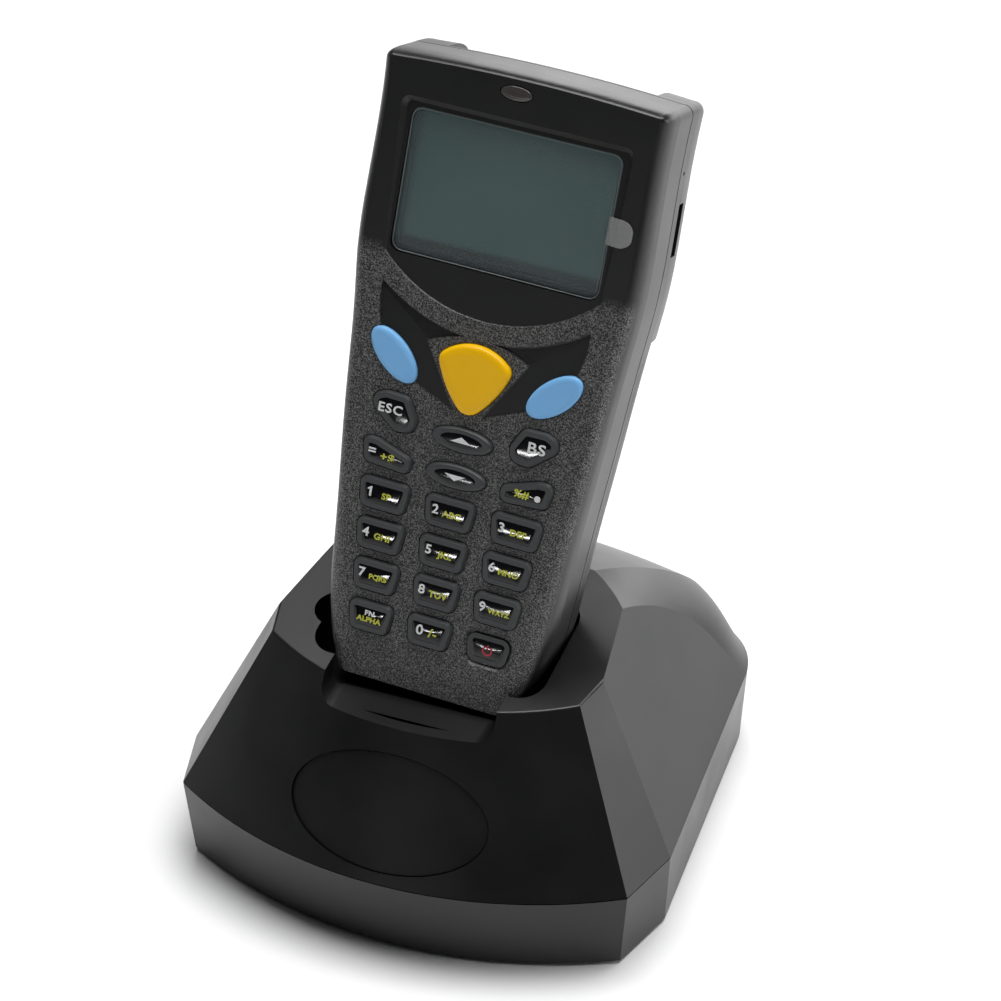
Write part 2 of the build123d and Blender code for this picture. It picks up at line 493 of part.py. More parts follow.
slot_half, slot_w, slot_pitch = 12.0, 1.5, 3.4
for row in range(6):                     # cooling slots under the board
    y = 15.0 + slot_pitch * row
    base_housing -= box(-slot_half, slot_half, y, y + slot_w, 0, 3.5)

ballast_plate = box(-28, 28, -36, 10, 3.02, 6.0)
cradle_board = box(-29, 29, 13, 44.5, 4.2, 5.6)
for x in (-26, 26):
    for y in (17, 41):
        base_housing += post(x, y, 2.5, 4.18, 2.0)
serial_x, jack_x = -14.0, 15.0
board_top = 5.62
serial_socket = box(serial_x - 7.8, serial_x + 7.8, 37.0, 50.6, board_top, 16.8)
serial_socket -= box(serial_x - 5.9, serial_x + 5.9, 40.5, 60, 7.4, 14.3)       # room for the plug
serial_socket -= box(serial_x - 3.0, serial_x + 3.0, 44.0, 60, 14.2, 15.4)      # slot for its latch
contact_pitch, contact_w = 1.27, 0.44
for i in range(8):                       # spring contacts below the socket's roof
    xc = serial_x + (i - 3.5) * contact_pitch
    x0, x1 = xc - contact_w / 2, xc + contact_w / 2
    serial_socket += box(x0, x1, 40.4, 47.0, 12.6, 12.9) + box(x0, x1, 40.4, 41.0, 12.6, 14.4)
jack_z, jack_bore, jack_pin = 10.9, 2.9, 0.95
dc_jack = box(jack_x - 4.6, jack_x + 4.6, 38.5, 50.8, board_top, 16.0)
dc_jack -= Pos(jack_x, 46.5, jack_z) * Rot(90, 0, 0) * Cylinder(jack_bore, 11)
dc_jack += Pos(jack_x, 44.8, jack_z) * Rot(90, 0, 0) * Cylinder(jack_pin, 10)
base_housing -= box(serial_x - 8, serial_x + 8, 36, 60, 5.4, 17.0)
base_housing -= box(jack_x - 4.8, jack_x + 4.8, 36, 60, 5.4, 16.2)

# ---------------------------------------------------------------- pocket floor: contacts and window
in_seat = lambda shape: seat.location * shape
for x, y in stud_at:
    top_housing -= in_seat(Pos(x, y, -3) * Cylinder(0.95, 6))
top_housing -= in_seat(box(-4.6, 4.6, 7.1, 11.9, -8, 1))
charge_pins = [in_seat(Pos(x, y, -3.2) * Cylinder(0.85, 1.9) + Pos(x, y, -2.25) * Sphere(0.85)
                       + Pos(x, y, -4.4) * Cylinder(1.4, 0.5) + Pos(x, y, -6.0) * Cylinder(0.6, 3.0))
               for x, y in stud_at]
block_top = pocket_floor - 2.05
pin_block = in_seat(box(-13, 13, 5.5, 13.5, -10.5, -5.6) + box(-13, -11, 5.5, 13.5, -5.7, block_top)
                    + box(11, 13, 5.5, 13.5, -5.7, block_top))
for x, y in stud_at:
    pin_block -= in_seat(Pos(x, y, -8) * Cylinder(0.68, 6))
pocket_window = in_seat(box(-4.5, 4.5, 7.2, 11.8, pocket_floor - 1.9, pocket_floor - 0.1))

cradle = {
    "base_housing": base_housing, "top_housing": top_housing, "badge_plate": badge_plate,
    "cradle_board": cradle_board, "charge_pins": charge_pins, "pin_block": pin_block,
    "pocket_window": pocket_window, "serial_socket": serial_socket, "dc_jack": dc_jack,
    "ballast_plate": ballast_plate, "blank_label": blank_label, "rubber_feet": rubber_feet,
    "base_screws": base_screws,
}

for name, shape in cradle.items():
    save(shape, name)
for name, shape in terminal.items():
    save(place(shape), name)
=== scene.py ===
"""Looks of the pocket data terminal in its charging cradle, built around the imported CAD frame."""
import math
import bmesh
import bpy
from mathutils import Matrix, Vector


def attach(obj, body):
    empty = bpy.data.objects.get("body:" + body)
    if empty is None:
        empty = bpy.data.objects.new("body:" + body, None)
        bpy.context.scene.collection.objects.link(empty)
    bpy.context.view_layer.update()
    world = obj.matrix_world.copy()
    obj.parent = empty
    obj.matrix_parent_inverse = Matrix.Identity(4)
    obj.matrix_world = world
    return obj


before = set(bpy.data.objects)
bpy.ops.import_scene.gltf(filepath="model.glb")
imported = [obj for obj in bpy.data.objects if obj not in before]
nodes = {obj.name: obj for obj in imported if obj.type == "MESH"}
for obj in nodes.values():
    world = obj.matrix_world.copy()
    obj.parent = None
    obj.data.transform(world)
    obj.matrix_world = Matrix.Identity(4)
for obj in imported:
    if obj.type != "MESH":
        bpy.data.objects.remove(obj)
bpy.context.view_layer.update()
MM = 0.001

# ---------------------------------------------------------------- the terminal's own frame
LEAN, SKEW = math.radians(19.94), math.radians(2.94)
DOCK = Vector((0, -29.06, 46.33)) * MM           # middle of the face's lower edge
ACROSS = Vector((math.cos(SKEW), -math.sin(SKEW) * math.sin(LEAN), -math.sin(SKEW) * math.cos(LEAN)))
ALONG = Vector((math.sin(SKEW), math.cos(SKEW) * math.sin(LEAN), math.cos(SKEW) * math.cos(LEAN)))
OUT = ACROSS.cross(ALONG)                        # out of the face, towards the user
# columns: across the face, along the face, out of the face
FACE = Matrix.Translation(DOCK) @ Matrix((ACROSS, ALONG, OUT)).transposed().to_4x4()


# ---------------------------------------------------------------- node helpers
class Graph:
    """A material's node tree with short ways to add nodes."""

    def __init__(self, name):
        self.material = bpy.data.materials.new(name)
        self.material.use_nodes = True
        self.tree = self.material.node_tree
        self.shader = self.tree.nodes["Principled BSDF"]
        self.object_point = self.add("ShaderNodeTexCoord").outputs["Object"]

    def add(self, kind, **settings):
        node = self.tree.nodes.new(kind)
        for key, value in settings.items():
            setattr(node, key, value)
        return node

    def put(self, node, **values):
        """Sets or links inputs by name; i0, i1 and so on pick an input by its number."""
        for key, value in values.items():
            by_number = key[0] == "i" and key[1:].isdigit()
            socket = node.inputs[int(key[1:]) if by_number else key]
            if isinstance(value, bpy.types.NodeSocket):
                self.tree.links.new(value, socket)
            else:
                socket.default_value = value
        return node

    def math(self, operation, a, b=0.0):
        node = self.put(self.add("ShaderNodeMath", operation=operation), i0=a, i1=b)
        return node.outputs[0]

    def plus(self, a, b):
        return self.math("ADD", a, b)

    def minus(self, a, b):
        return self.math("SUBTRACT", a, b)

    def times(self, a, b):
        return self.math("MULTIPLY", a, b)

    def larger(self, a, b):
        return self.math("MAXIMUM", a, b)

    def noise(self, scale, detail=3.0, rough=0.55, point=None):
        node = self.add("ShaderNodeTexNoise")
        self.put(node, Vector=point or self.object_point, Scale=scale, Detail=detail, Roughness=rough)
        return node.outputs["Fac"]

    def spread(self, value, low, high, start=0.3, end=0.7):
        """Maps start..end to low..high."""
        node = self.add("ShaderNodeMapRange")
        self.put(node, i0=value, i1=start, i2=end, i3=low, i4=high)
        return node.outputs[0]

    def blend(self, factor, a, b):
        node = self.add("ShaderNodeMix", data_type="RGBA")
        self.put(node, i0=factor, i6=a, i7=b)
        return node.outputs[2]

    def bump(self, height, distance, normal=None):
        node = self.add("ShaderNodeBump")
        self.put(node, Strength=1.0, Distance=distance, Height=height)
        if normal is not None:
            self.put(node, Normal=normal)
        return node.outputs[0]

    def tint(self, factor, colour, low, high):
        """Base colour running from low to high times the given colour."""
        self.put(self.shader, **{"Base Color": self.blend(factor, scaled(colour, low), scaled(colour, high))})

    def face_point(self):
        """Position in the terminal's own frame, in mm: across, along, out."""
        node = self.add("ShaderNodeMapping", vector_type="TEXTURE")
        self.put(node, Vector=self.object_point)
        node.inputs["Location"].default_value = DOCK
        node.inputs["Rotation"].default_value = FACE.to_euler()
        node.inputs["Scale"].default_value = (MM, MM, MM)
        split = self.put(self.add("ShaderNodeSeparateXYZ"), Vector=node.outputs[0])
        return split.outputs[0], split.outputs[1], split.outputs[2]


def rgba(colour):
    return (*colour, 1.0)


def scaled(colour, k):
    return rgba([min(1.0, c * k) for c in colour])


def moulded(name, colour, rough, grain=0.16, depth=0.012, vary=0.12, **sockets):
    """Moulded plastic or rubber: fine eroded grain, slow drift of tone and of gloss."""
    g = Graph(name)
    drift = g.noise(55.0, 3.0)
    fine = g.noise(1000.0 / grain, 2.0)
    tone = g.spread(g.plus(g.times(drift, 0.7), g.times(fine, 0.3)), 0.0, 1.0)
    g.tint(tone, colour, 1 - vary, 1 + vary)
    g.put(g.shader, Roughness=g.spread(drift, rough - 0.05, rough + 0.05))
    g.put(g.shader, Normal=g.bump(fine, depth * MM))
    g.put(g.shader, **sockets)
    return g.material


def front_with_painted_light():
    """Front case: smooth head and display recess, eroded keypad with painted glints as pale specks, smooth
    wings by the round keys with painted shade.
    """
    g = Graph("front_case_plastic")
    x, z, out = g.face_point()
    side = g.math("ABSOLUTE", x)

    def circle(centre, radius, soft=0.25):
        """1 inside a circle about (0, centre)."""
        dz = g.minus(z, centre)
        r = g.math("SQRT", g.plus(g.times(x, x), g.times(dz, dz)))
        return g.spread(r, 1.0, 0.0, radius - soft, radius + soft)

    def above(line, soft=0.25):
        return g.spread(line, 0.0, 1.0, -soft, soft)

    def no(a):
        return g.minus(1.0, a)

    # the smooth zone hangs between the crescent under the display and a V that meets below the big key
    bowl = circle(76.0, 20.9)
    vee = above(g.minus(g.minus(z, 55.2), g.times(side, 0.42)))
    under_crescent = no(circle(105.6, 34.9))
    # the textured shield round the big key, cut off flat above
    flanks = above(g.minus(g.plus(10.2, g.times(g.minus(z, 68.3), 0.62)), side))
    brow = above(g.minus(g.minus(71.2, z), g.times(g.times(side, side), 0.026)))
    shield = g.times(flanks, brow)
    smooth = g.times(g.times(bowl, vee), g.times(under_crescent, no(shield)))
    head = above(g.minus(z, 83.5), 1.5)
    recess = g.times(circle(105.8, 31.2), above(g.minus(z, 74.0)))
    recess = g.times(recess, above(g.minus(22.4, side)))
    plain = g.larger(g.larger(smooth, head), recess)
    facing_out = g.spread(out, 0.0, 1.0, -2.6, -1.2)
    rough_zone = g.times(no(plain), facing_out)

    # painted shade: the wing above the round keys is painted darker than the lens shaped patch they sit in,
    # where it faces away from the light
    wing_line = g.minus(g.minus(z, 68.4), g.times(g.minus(side, 9.8), 0.72))
    wing = g.times(smooth, above(wing_line))

    drift = g.noise(45.0, 3.0)
    fine = g.noise(5200.0, 2.0)
    spark = g.noise(3600.0, 2.0, 0.6)
    dark, light = rgba((0.0050, 0.0053, 0.0053)), rgba((0.0075, 0.0078, 0.0078))
    plastic = g.blend(g.spread(drift, 0.0, 1.0), dark, light)
    # painted glints: pale grey specks in the base colour of the eroded keypad zone stand in for its sparkle
    painted_glints = g.times(g.spread(spark, 0.0, 1.0, 0.43, 0.68), rough_zone)
    plastic = g.blend(painted_glints, plastic, rgba((0.210, 0.211, 0.206)))
    # painted shade darkens the wing's base colour
    plastic = g.blend(g.times(wing, 0.55), plastic, rgba((0.004, 0.0042, 0.0042)))
    gloss = g.plus(g.spread(drift, 0.30, 0.37), g.times(rough_zone, 0.12))
    soft_grain = g.bump(fine, 0.010 * MM)
    sparkle = g.bump(g.times(spark, rough_zone), 0.06 * MM, soft_grain)
    g.put(g.shader, **{"Base Color": plastic, "Specular IOR Level": 0.4})
    g.put(g.shader, Roughness=g.minus(gloss, g.times(wing, 0.10)), Normal=sparkle)
    return g.material


def pane(name, colour, alpha, rough, tab_alpha=None):
    """Thin clear sheet with faint streaks of haze; a film turns milky where its tab leaves the glass."""
    g = Graph(name)
    haze = g.noise(60.0, 4.0)
    g.tint(g.spread(haze, 0.0, 1.0), colour, 0.85, 1.15)
    g.put(g.shader, Roughness=g.spread(haze, rough, rough + 0.06))
    if tab_alpha is None:
        g.put(g.shader, Alpha=alpha)
    else:
        x, _, _ = g.face_point()
        g.put(g.shader, Alpha=g.spread(x, alpha, tab_alpha, 19.9, 20.7))
    return g.material


def lcd_glass():
    """Unlit reflective display: grey green with slow drift, and painted shade of the recess along its left
    and lower edges.
    """
    g = Graph("lcd_reflective")
    x, z, _ = g.face_point()
    drift = g.noise(35.0, 4.0)
    film = g.blend(g.spread(drift, 0.0, 1.0), rgba((0.070, 0.150, 0.153)), rgba((0.080, 0.165, 0.167)))
    left = g.spread(x, 1.0, 0.0, -19.6, -18.3)
    low = g.spread(g.minus(z, g.times(x, 0.02)), 1.0, 0.0, 86.2, 87.3)
    # painted shade of the display recess along the left and lower edges
    painted_recess_shade = g.larger(g.times(left, 0.55), low)
    film = g.blend(g.times(painted_recess_shade, 0.8), film, rgba((0.030, 0.042, 0.054)))
    g.put(g.shader, **{"Base Color": film, "Roughness": g.spread(drift, 0.34, 0.44)})
    return g.material


def circuit():
    """Solder mask with lighter copper runs under it."""
    g = Graph("circuit_board")
    cells = g.add("ShaderNodeTexVoronoi", feature="DISTANCE_TO_EDGE")
    g.put(cells, Vector=g.object_point, Scale=420.0)
    run = g.spread(cells.outputs[0], 1.0, 0.0, 0.03, 0.09)
    g.put(g.shader, **{"Base Color": g.blend(run, rgba((0.010, 0.085, 0.035)), rgba((0.030, 0.20, 0.085)))})
    g.put(g.shader, Roughness=g.spread(g.noise(500.0), 0.28, 0.40), Normal=g.bump(run, 0.02 * MM))
    return g.material


def brushed(name, colour, rough):
    """Metal with fine drawn lines."""
    g = Graph(name)
    stretch = g.put(g.add("ShaderNodeMapping"), Vector=g.object_point, Scale=(1.0, 1.0, 14.0))
    lines = g.noise(900.0, 3.0, point=stretch.outputs[0])
    g.tint(g.spread(lines, 0.0, 1.0), colour, 0.86, 1.08)
    g.put(g.shader, Roughness=g.spread(lines, rough - 0.06, rough + 0.08), Metallic=1.0,
          Normal=g.bump(lines, 0.004 * MM))
    return g.material


def printed(name, colour):
    """Screen printed ink with slightly uneven cover."""
    g = Graph(name)
    cover = g.noise(2600.0, 3.0)
    g.tint(g.spread(cover, 0.0, 1.0), colour, 0.86, 1.04)
    g.put(g.shader, Roughness=g.spread(cover, 0.42, 0.55))
    return g.material


def dull(level):
    """Weaker surface reflection than a usual plastic."""
    return {"Specular IOR Level": level}


# name, colour, roughness, grain size in mm, grain depth in mm, spread of tone
BLACK = moulded("case_plastic", (0.0085, 0.0088, 0.0088), 0.34, 0.17, 0.006, **dull(0.4))
CRADLE = moulded("cradle_plastic", (0.0062, 0.0063, 0.0063), 0.33, 0.24, 0.012, 0.16, **dull(0.4))
DARK = moulded("inner_plastic", (0.012, 0.012, 0.013), 0.55, 0.20, 0.012)
RUBBER = moulded("key_rubber", (0.042, 0.045, 0.047), 0.44, 0.13, 0.008, 0.10)
YELLOW = moulded("key_yellow", (1.0, 0.54, 0.001), 0.36, 0.12, 0.006, 0.05, **dull(0.28))
BLUE = moulded("key_blue", (0.205, 0.49, 0.86), 0.42, 0.12, 0.006, 0.05, **dull(0.35))
INSET = moulded("key_gloss_black", (0.004, 0.004, 0.005), 0.05, 0.30, 0.001, 0.10)
LENS = moulded("lens_smoke", (0.055, 0.050, 0.048), 0.16, 0.30, 0.002, 0.15)
RED = moulded("window_dark_red", (0.085, 0.004, 0.006), 0.10, 0.30, 0.002, 0.12)
FEET = moulded("foot_rubber", (0.028, 0.028, 0.028), 0.72, 0.22, 0.03, 0.14)
LABEL = moulded("label_paper", (0.42, 0.43, 0.43), 0.58, 0.10, 0.004, 0.06)
WRAP = moulded("cell_wrap", (0.05, 0.13, 0.30), 0.30, 0.30, 0.003, 0.10)
# painted highlight: pale grey for the film's edge round the display window stands in for its bright edge line
BEAD_HIGHLIGHT = moulded("window_bead_highlight", (0.17, 0.18, 0.18), 0.24, 0.30, 0.001, 0.08)
FRONT = front_with_painted_light()
LCD = lcd_glass()
BOARD = circuit()
GLASS = pane("display_window_clear", (0.06, 0.075, 0.08), 0.12, 0.05)
FILM = pane("film_clear", (0.40, 0.41, 0.40), 0.05, 0.28, tab_alpha=0.42)
STEEL = brushed("screw_steel", (0.42, 0.42, 0.43), 0.30)
GOLD = brushed("contact_gold", (0.80, 0.56, 0.20), 0.25)
WHITE_INK = printed("ink_white", (0.78, 0.79, 0.79))
LIME_INK = printed("ink_lime", (0.56, 0.58, 0.05))
RED_INK = printed("ink_red", (0.50, 0.02, 0.04))

finish_of = {
    CRADLE: ["base_housing", "top_housing", "badge_plate"],
    FRONT: ["front_case"],
    BLACK: ["rear_case", "battery_cover"],
    DARK: ["pin_block", "serial_socket", "dc_jack", "engine_frame", "beeper", "scan_engine"],
    YELLOW: ["key_scan"],
    BLUE: ["key_blue_left", "key_blue_right"],
    LENS: ["led_lens"],
    RED: ["scan_window", "pocket_window", "foot_window"],
    FEET: ["rubber_feet"],
    LABEL: ["blank_label"],
    WRAP: ["cells"],
    LCD: ["lcd_module"],
    BOARD: ["cradle_board", "main_board", "keypad_board", "board_link"],
    GLASS: ["display_window"],
    FILM: ["screen_film"],
    STEEL: ["base_screws", "case_screws", "shield_can", "snap_domes", "ballast_plate"],
    GOLD: ["charge_pins", "charge_studs", "bay_contacts"],
}
finish = {name: material for material, names in finish_of.items() for name in names}
for name, thing in nodes.items():
    material = finish.get(name, RUBBER)
    for slot in thing.material_slots:
        slot.material = material
    if not thing.material_slots:
        thing.data.materials.append(material)


# ---------------------------------------------------------------- mesh helpers
SMALLEST_BEND = 0.35


def piece(name, mesh, material, body):
    """Adds a mesh as a named piece that moves with one body."""
    thing = bpy.data.objects.new(name, mesh)
    bpy.context.scene.collection.objects.link(thing)
    mesh.materials.clear()
    mesh.materials.append(material)
    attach(thing, body)


def meshed(name, bm):
    """Turns a finished bmesh into a mesh."""
    mesh = bpy.data.meshes.new(name)
    bm.to_mesh(mesh)
    bm.free()
    return mesh


def wall(bm, low, high):
    """Quads between two closed rings of the same number of vertices."""
    for i in range(len(low)):
        j = (i + 1) % len(low)
        bm.faces.new((low[i], low[j], high[j], high[i]))


def rounded_outline(points, radius, grow, steps=8):
    """Convex counter-clockwise outline with round corners, moved outward by grow (inward if negative)."""
    bend = max(radius + grow, SMALLEST_BEND)
    shift = bend - grow
    lines = []
    for (ax, ay), (bx, by) in zip(points, points[1:] + points[:1]):
        d = Vector((bx - ax, by - ay)).normalized()
        n = Vector((d.y, -d.x))                     # outward
        lines.append((Vector((ax, ay)) - n * shift, d, n))
    core = []
    for (p, d, _), (q, e, _) in zip(lines[-1:] + lines[:-1], lines):
        t = (q - p).cross(e) / d.cross(e)
        core.append(p + d * t)
    outline = []
    for i, centre in enumerate(core):
        n0, n1 = lines[i - 1][2], lines[i][2]
        a0 = math.atan2(n0.y, n0.x)
        turn = (math.atan2(n1.y, n1.x) - a0) % (2 * math.pi)
        for k in range(steps + 1):
            a = a0 + turn * k / steps
            outline.append((centre.x + bend * math.cos(a), centre.y + bend * math.sin(a)))
    return outline


def mirrored(outline):
    return [(-x, y) for x, y in reversed(outline)]


def ellipse_outline(a, b, steps=56):
    return [(a * math.cos(t), b * math.sin(t)) for t in (2 * math.pi * k / steps for k in range(steps))]


def crowned_plate(outline, low, edge, crown, rings=6):
    """Closed plate in face coordinates: upright rim above low, then a cap arched along and across."""
    bm = bmesh.new()
    cx = sum(p[0] for p in outline) / len(outline)
    cy = sum(p[1] for p in outline) / len(outline)
    half_w = max(abs(p[0] - cx) for p in outline)
    half_h = max(abs(p[1] - cy) for p in outline)

    def arch(x, y):
        return edge + crown * (1 - 0.6 * ((y - cy) / half_h) ** 2 - 0.4 * ((x - cx) / half_w) ** 2)

    def ring(s, drop):
        spots = [(cx + (x - cx) * s, cy + (y - cy) * s) for x, y in outline]
        return [bm.verts.new((x, y, arch(x, y) - drop)) for x, y in spots]

    loops = [[bm.verts.new((x, y, low)) for x, y in outline], ring(1.0, 0.03), ring(0.985, 0.0)]
    loops += [ring(1 - k / rings, 0.0) for k in range(1, rings)]
    top = bm.verts.new((cx, cy, arch(cx, cy)))
    for lower, upper in zip(loops, loops[1:]):
        wall(bm, lower, upper)
    for i, corner in enumerate(loops[-1]):
        bm.faces.new((corner, loops[-1][(i + 1) % len(outline)], top))
    bm.faces.new(list(reversed(loops[0])))
    for f in bm.faces:
        f.smooth = len(f.verts) <= 4                # all but the flat underside
    return meshed("plate", bm)


def on_face(mesh, x, z, height):
    """Moves a mesh drawn in mm about its own middle to (x, z) on the terminal's face, height mm above it."""
    mesh.transform(FACE @ Matrix.Translation(Vector((x, z, height)) * MM) @ Matrix.Scale(MM, 4))
    return mesh


def lettering(text, size, squeeze, spacing):
    """Flat raised lettering as a mesh, in mm, about its own middle."""
    curve = bpy.data.curves.new("lettering", "FONT")
    curve.body = text
    curve.size = size
    curve.extrude = 0.05                            # half its thickness
    curve.offset = 0.055                            # makes the strokes bolder
    curve.align_x, curve.align_y = "CENTER", "CENTER"
    curve.space_character = spacing
    curve.resolution_u = 4
    thing = bpy.data.objects.new("lettering", curve)
    bpy.context.scene.collection.objects.link(thing)
    bpy.context.view_layer.update()
    mesh = bpy.data.meshes.new_from_object(thing.evaluated_get(bpy.context.evaluated_depsgraph_get()))
    bpy.data.objects.remove(thing)
    mesh.transform(Matrix.Diagonal((squeeze, 1, 1, 1)))
    return mesh


def flat_shape(outline, thick=0.03):
    """Closed plate with sharp edges, in mm; thick is half its thickness."""
    bm = bmesh.new()
    low = [bm.verts.new((x, y, -thick)) for x, y in outline]
    high = [bm.verts.new((x, y, thick)) for x, y in outline]
    wall(bm, low, high)
    bm.faces.new(high)
    bm.faces.new(list(reversed(low)))
    return meshed("shape", bm)


def power_sign():
    """Open ring with a bar in its gap."""
    bm = bmesh.new()
    low, high, inner, outer = -0.03, 0.03, 0.72, 1.05
    start, sweep, steps = 128, 284, 26              # degrees; the gap is left at the top
    rows = []
    for k in range(steps + 1):
        a = math.radians(start + sweep * k / steps)
        rows.append([bm.verts.new((r * math.cos(a), r * math.sin(a), h))
                     for r, h in ((inner, low), (outer, low), (outer, high), (inner, high))])
    for a, b in zip(rows, rows[1:]):
        wall(bm, a, b)
    bm.faces.new(list(reversed(rows[0])))
    bm.faces.new(rows[-1])
    bar = [(-0.15, 0.15), (0.15, 0.15), (0.15, 1.15), (-0.15, 1.15)]
    bar_low, bar_high = ([bm.verts.new((x, y, h)) for x, y in bar] for h in (low, high))
    wall(bm, bar_low, bar_high)
    bm.faces.new(list(reversed(bar_low)))
    bm.faces.new(bar_high)
    bmesh.ops.recalc_face_normals(bm, faces=bm.faces)
    return meshed("power", bm)


def closed_tube(outline, radius, sides=8):
    """Tube along a closed flat outline, in mm."""
    bm = bmesh.new()
    turns = [2 * math.pi * k / sides for k in range(sides)]
    rings = []
    for i, (x, y) in enumerate(outline):
        ahead, behind = outline[(i + 1) % len(outline)], outline[i - 1]
        along = Vector((ahead[0] - behind[0], ahead[1] - behind[1])).normalized()
        reach = [(radius * math.cos(t), radius * math.sin(t)) for t in turns]
        rings.append([bm.verts.new((x + along.y * r, y - along.x * r, h)) for r, h in reach])
    for a, b in zip(rings, rings[1:] + rings[:1]):
        wall(bm, a, b)
    for f in bm.faces:
        f.smooth = True
    bmesh.ops.recalc_face_normals(bm, faces=bm.faces)
    return meshed("tube", bm)


# ---------------------------------------------------------------- keys: glossy fields
RISE = 0.85                  # height of a key's top above the face
INSIDE = 1.38                # the glossy field lies this far inside the key's outline
FIELD_LOW, FIELD_EDGE, FIELD_CROWN = RISE - 0.135, RISE - 0.08, 0.09
BLOCK_BEND, BLOCK_TAPER = 1.75, 0.9


def block(width, height=6.4):
    """Field of a digit key, a little narrower below."""
    half_w, half_h = width / 2, height / 2
    foot = half_w - BLOCK_TAPER
    points = [(-foot, -half_h), (foot, -half_h), (half_w, half_h), (-half_w, half_h)]
    return rounded_outline(points, BLOCK_BEND, -INSIDE)


drop_points = [(-5.7, 1.9), (1.0, -3.6), (4.6, -3.1), (5.3, -0.6), (3.0, 3.6), (-1.6, 3.7)]
wing_points = [(-4.2, -2.2), (5.1, -2.8), (5.6, 0.4), (-1.9, 2.9), (-5.1, 2.9)]
drop_field = rounded_outline(drop_points, 1.9, 0.2 - INSIDE)
wing_field = rounded_outline(wing_points, 1.5, 0.1 - INSIDE)
bean_field = ellipse_outline(4.17, 1.32)

# key: (across, along, outline)
fields = {
    "esc": (-14.7, 53.2, drop_field),
    "bs": (14.7, 53.2, mirrored(drop_field)),
    "equal": (-14.5, 44.6, wing_field),
    "percent": (14.5, 44.6, mirrored(wing_field)),
    "up": (0.0, 51.3, bean_field),
    "down": (0.0, 44.1, bean_field),
    "fn": (-12.2, 12.2, block(9.8, 6.3)),
    "0": (0.0, 12.5, block(9.9, 6.3)),
}
for row, (digits, z) in enumerate([("789", 20.5), ("456", 28.6), ("123", 36.7)]):
    pitch, width = 12.5 + 0.5 * row, 10.2 + 0.4 * row
    for column, digit in enumerate(digits):
        fields[digit] = ((column - 1) * pitch, z, block(width))
for key, (x, z, outline) in fields.items():
    plate = crowned_plate(outline, FIELD_LOW, FIELD_EDGE, FIELD_CROWN)
    piece(f"field_{key}", on_face(plate, x, z, 0.0), INSET, f"key_{key}")

# ---------------------------------------------------------------- keys: printed legends
PRINT_H = RISE + 0.01


def legend(key, part, mesh, dx, dz, ink):
    """Puts a printed sign on a key, (dx, dz) from the key's middle."""
    x, z, _ = fields[key]
    piece(f"legend_{key}_{part}", on_face(mesh, x + dx, z + dz, PRINT_H), ink, f"key_{key}")


# key, part, text, size, dx, dz, width, spacing, ink
words = [(digit, "digit", digit, 2.5, -2.7, 0.3, 1.1, 1.0, WHITE_INK) for digit in "23456789"]
letters = {"1": ("SP", 1.7), "2": ("ABC", 1.7), "3": ("DEF", 1.7), "4": ("GHI", 1.7), "5": ("JKL", 1.7),
           "6": ("MNO", 1.55), "7": ("PQRS", 1.35), "8": ("TUV", 1.7), "9": ("WXYZ", 1.25)}
words += [(digit, "letters", text, size, 0.7, -0.15, 1.1, 1.05, LIME_INK)
          for digit, (text, size) in letters.items()]
words += [
    ("0", "digit", "0", 2.75, -1.7, 0.2, 1.1, 1.0, WHITE_INK),
    ("0", "signs", "/-", 2.4, 1.0, 0.1, 1.2, 1.0, LIME_INK),
    ("fn", "upper", "FN", 1.3, 0.0, 0.8, 1.2, 1.1, WHITE_INK),
    ("fn", "lower", "ALPHA", 1.4, 0.0, -0.5, 1.1, 1.05, LIME_INK),
    ("equal", "left", "=", 2.6, -2.6, 0.3, 1.1, 1.0, WHITE_INK),
    ("equal", "right", "+$", 2.1, 0.6, -0.4, 1.2, 1.1, LIME_INK),
    ("percent", "left", "%#", 2.0, -1.0, -0.2, 1.15, 1.05, LIME_INK),
    ("esc", "word", "ESC", 2.5, -0.2, 0.5, 1.12, 1.15, WHITE_INK),
    ("bs", "word", "BS", 2.9, 0.1, 0.4, 1.2, 1.1, WHITE_INK),
]
for key, part, text, size, dx, dz, width, spacing, ink in words:
    legend(key, part, lettering(text, size, width, spacing), dx, dz, ink)

one = [(-0.2, -0.97), (0.24, -0.97), (0.24, 0.97), (-0.08, 0.97),
       (-0.2, 0.8), (-0.62, 0.58), (-0.62, 0.24), (-0.2, 0.42)]
arrow = [(-2.1, -0.42), (2.1, -0.42), (0.0, 0.72)]
arrow_down = [(x, -y) for x, y in reversed(arrow)]
legend("1", "digit", flat_shape(one), -2.6, 0.3, WHITE_INK)
legend("percent", "dot", flat_shape(ellipse_outline(0.62, 0.62, 24)), 2.2, -0.3, WHITE_INK)
legend("up", "arrow", flat_shape(arrow), 0.0, 0.0, WHITE_INK)
legend("down", "arrow", flat_shape(arrow_down), 0.0, 0.0, WHITE_INK)

# ---------------------------------------------------------------- power key, sunk below the face
POWER_X, POWER_Z = 12.0, 12.2
power_field = rounded_outline([(-3.7, -2.8), (3.7, -2.8), (4.6, 2.8), (-4.6, 2.8)], 1.75, -1.0)
power_plate = crowned_plate(power_field, low=-0.37, edge=-0.30, crown=0.12)
piece("field_power", on_face(power_plate, POWER_X, POWER_Z, 0.0), INSET, "key_power")
piece("legend_power", on_face(power_sign(), POWER_X, POWER_Z - 0.1, -0.15), RED_INK, "key_power")

# ---------------------------------------------------------------- bead round the display window: the film's real edge, painted pale grey as its bright highlight line
WINDOW_Z, BEAD_DEPTH = 97.1, 1.02
bead_w, bead_h = 20.62, 13.55                       # half width and half height
bead_corners = [(-bead_w, -bead_h), (bead_w, -bead_h), (bead_w, bead_h), (-bead_w, bead_h)]
bead_path = rounded_outline(bead_corners, 2.0, 0.0)
bead = on_face(closed_tube(bead_path, 0.12), 0.0, WINDOW_Z, -BEAD_DEPTH)
piece("display_window_bead", bead, BEAD_HIGHLIGHT, "terminal")

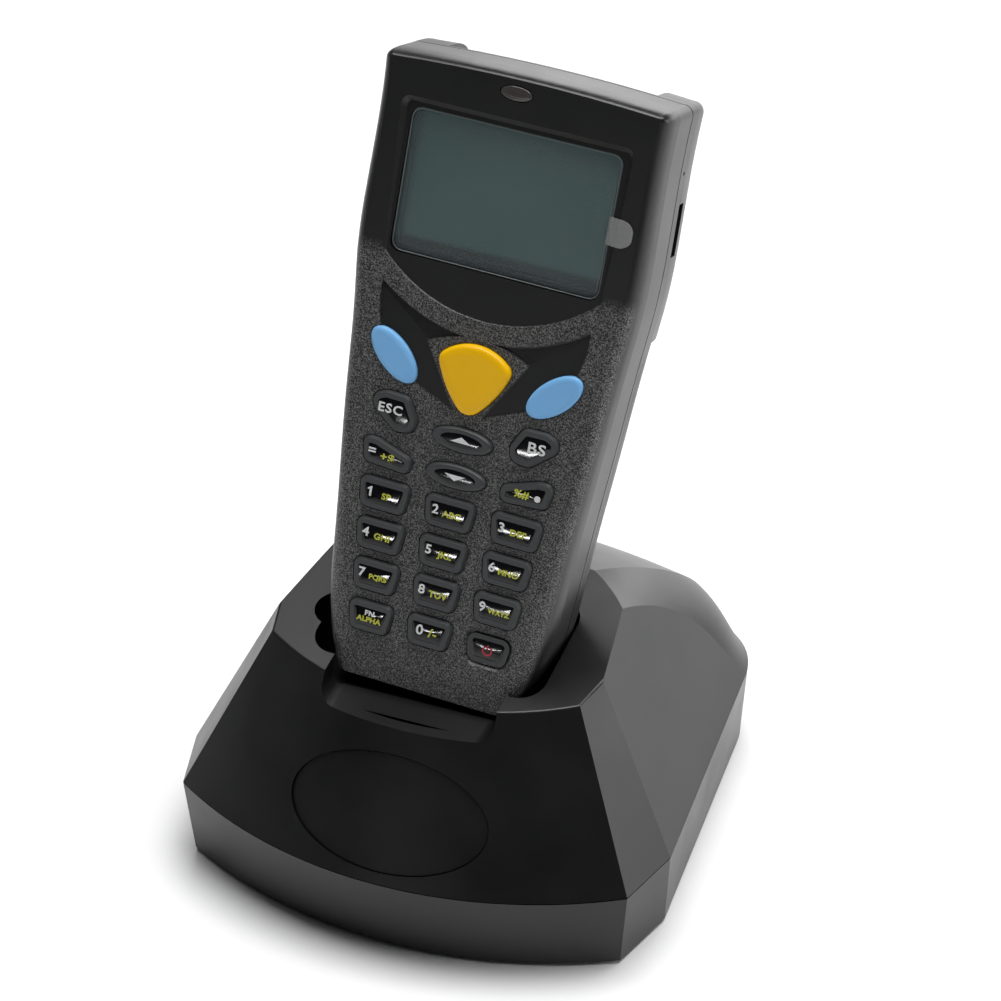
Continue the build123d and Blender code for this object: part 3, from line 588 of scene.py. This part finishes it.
# ---------------------------------------------------------------- floor, light and camera
floor_mesh = bpy.data.meshes.new("floor")
half = 4.0
corners = [(-half, -half, 0), (half, -half, 0), (half, half, 0), (-half, half, 0)]
floor_mesh.from_pydata(corners, [], [(0, 1, 2, 3)])
floor = bpy.data.objects.new("floor", floor_mesh)
bpy.context.scene.collection.objects.link(floor)
floor_mesh.materials.append(moulded("floor_pale", (0.84, 0.84, 0.84), 0.85, 6.0, 0.0, 0.01))


def softbox(name, power, size, place, target):
    """Rectangular light at place, facing target; watts and metres."""
    lamp = bpy.data.lights.new(name, "AREA")
    lamp.shape = "RECTANGLE"
    lamp.size, lamp.size_y = size
    lamp.energy = power
    thing = bpy.data.objects.new(name, lamp)
    thing.location = place
    thing.rotation_mode = "QUATERNION"
    thing.rotation_quaternion = (Vector(target) - Vector(place)).to_track_quat("-Z", "Y")
    bpy.context.scene.collection.objects.link(thing)


softbox("light_top", 62.0, (1.8, 1.4), (0.1, 0.45, 1.9), (0, 0.05, 0))
softbox("light_back", 15.0, (2.6, 0.55), (0.5, 1.9, 0.28), (0.1, 0, 0.05))
softbox("light_right", 11.0, (1.0, 0.8), (1.6, 0.5, 0.45), (0, 0, 0.06))
softbox("light_left", 1.2, (0.7, 1.0), (-1.5, 0.3, 0.8), (0, 0, 0.06))
# low in front of the keypad, for the thin glare lines on the glossy key fields
softbox("light_strip", 1.2, (0.34, 0.02), (-0.60, -2.25, 0.13), (0, 0, 0.08))

world = bpy.data.worlds.new("room")
world.use_nodes = True
sky = world.node_tree.nodes["Background"]
sky.inputs["Color"].default_value = (0.93, 0.95, 1.0, 1.0)
sky.inputs["Strength"].default_value = 0.04
bpy.context.scene.world = world
bpy.context.scene.view_settings.view_transform = "Standard"

azimuth, elevation, roll = math.radians(21.91), math.radians(35.63), math.radians(-0.43)
right = Vector((math.cos(azimuth), math.sin(azimuth), 0))
level = Vector((-math.sin(azimuth), math.cos(azimuth), 0))
forward = level * math.cos(elevation) - Vector((0, 0, math.sin(elevation)))
up = right.cross(forward)
turn = Matrix.Rotation(-roll, 3, forward)
right, up = turn @ right, turn @ up
lens = bpy.data.cameras.new("camera")
lens.lens, lens.sensor_width = 118.67, 36.0
lens.clip_start, lens.clip_end = 0.01, 20.0
camera = bpy.data.objects.new("camera", lens)
camera.rotation_mode = "QUATERNION"
camera.location = Vector((198.79, -480.52, 444.85)) * MM
camera.rotation_quaternion = Matrix((right, up, -forward)).transposed().to_quaternion()
bpy.context.scene.collection.objects.link(camera)
bpy.context.scene.camera = camera
